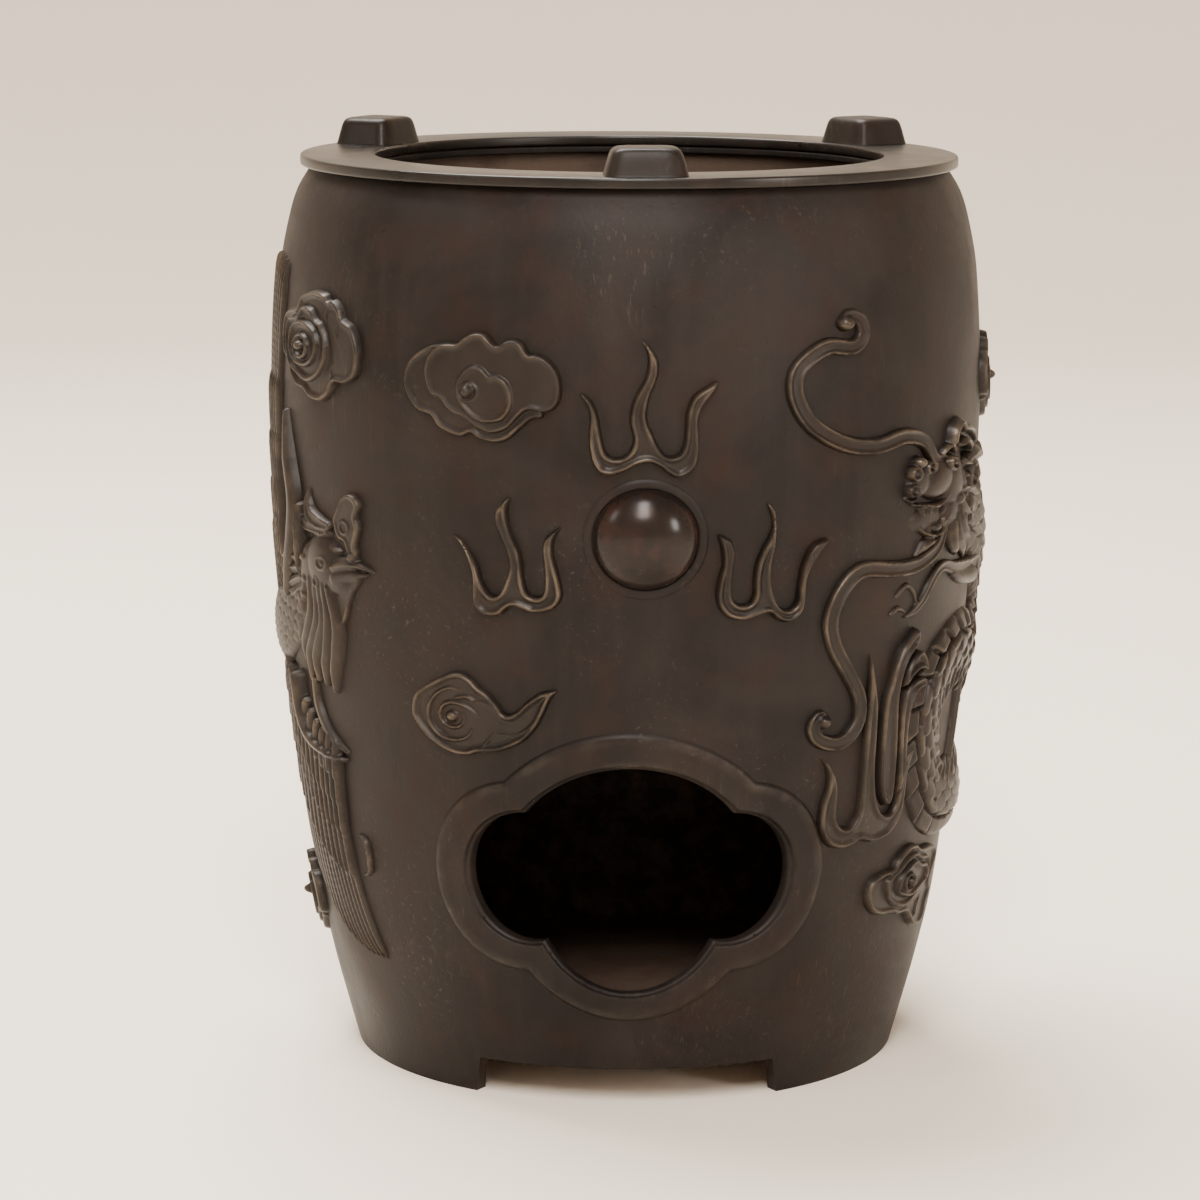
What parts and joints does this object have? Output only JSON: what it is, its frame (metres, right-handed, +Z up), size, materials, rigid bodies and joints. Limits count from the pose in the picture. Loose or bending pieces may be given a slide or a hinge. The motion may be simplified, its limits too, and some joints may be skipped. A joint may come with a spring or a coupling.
{
  "type": "tea brazier",
  "caption": "Barrel-shaped bronze tea brazier on legs, with a lobed air port, a hanging charcoal bowl, a loose ring with pot rests, and dragon and phoenix relief.",
  "frame": {"origin": "bottom centre, on the plane of the legs and the barrel's axis", "axes": "+Z up along the barrel's axis, -Y towards the air port at the front, +X to the right seen from the front"},
  "size_m": [0.1962, 0.1989, 0.2463],
  "materials": {
    "barrel_bronze": "dark brown patinated bronze, satin",
    "relief_bronze": "dark brown patina worn towards brass on the edges",
    "ring_bronze": "grey-brown patina, smooth satin",
    "rest_bronze": "dark brown patina with soft sheen",
    "jewel_bronze": "reddish brown polished patina",
    "inside_bronze": "unpolished sooty brown",
    "grate_iron": "sooty cast iron"
  },
  "bodies": {
    "barrel": {"barrel": "barrel_bronze", "floor_plate": "inside_bronze", "port_frame": "barrel_bronze", "jewel": "jewel_bronze", "jewel_setting": "relief_bronze", "flame_top": "relief_bronze", "flame_left": "relief_bronze", "flame_right": "relief_bronze", "cloud_front": "relief_bronze", "cloud_left": "relief_bronze", "cloud_spiral": "relief_bronze", "cloud_right_low": "relief_bronze", "cloud_right_high": "relief_bronze", "cloud_left_low": "relief_bronze", "cloud_back": "relief_bronze", "dragon": "relief_bronze", "phoenix": "relief_bronze"},
    "fire_bowl": {"fire_bowl": "inside_bronze"},
    "pot_ring": {"pot_ring": "ring_bronze", "ring_hoop": "ring_bronze", "pot_rest_front": "rest_bronze", "pot_rest_right": "rest_bronze", "pot_rest_left": "rest_bronze"},
    "grate": {"grate": "grate_iron"}
  },
  "joints": [
    {"name": "bowl_lift", "type": "slide", "parent": "barrel", "child": "fire_bowl", "axis": [0, 0, 1], "range_m": [0, 0.13]},
    {"name": "ring_lift", "type": "slide", "parent": "fire_bowl", "child": "pot_ring", "axis": [0, 0, 1], "range_m": [0, 0.03]},
    {"name": "grate_lift", "type": "slide", "parent": "fire_bowl", "child": "grate", "axis": [0, 0, 1], "range_m": [0, 0.13]}
  ]
}
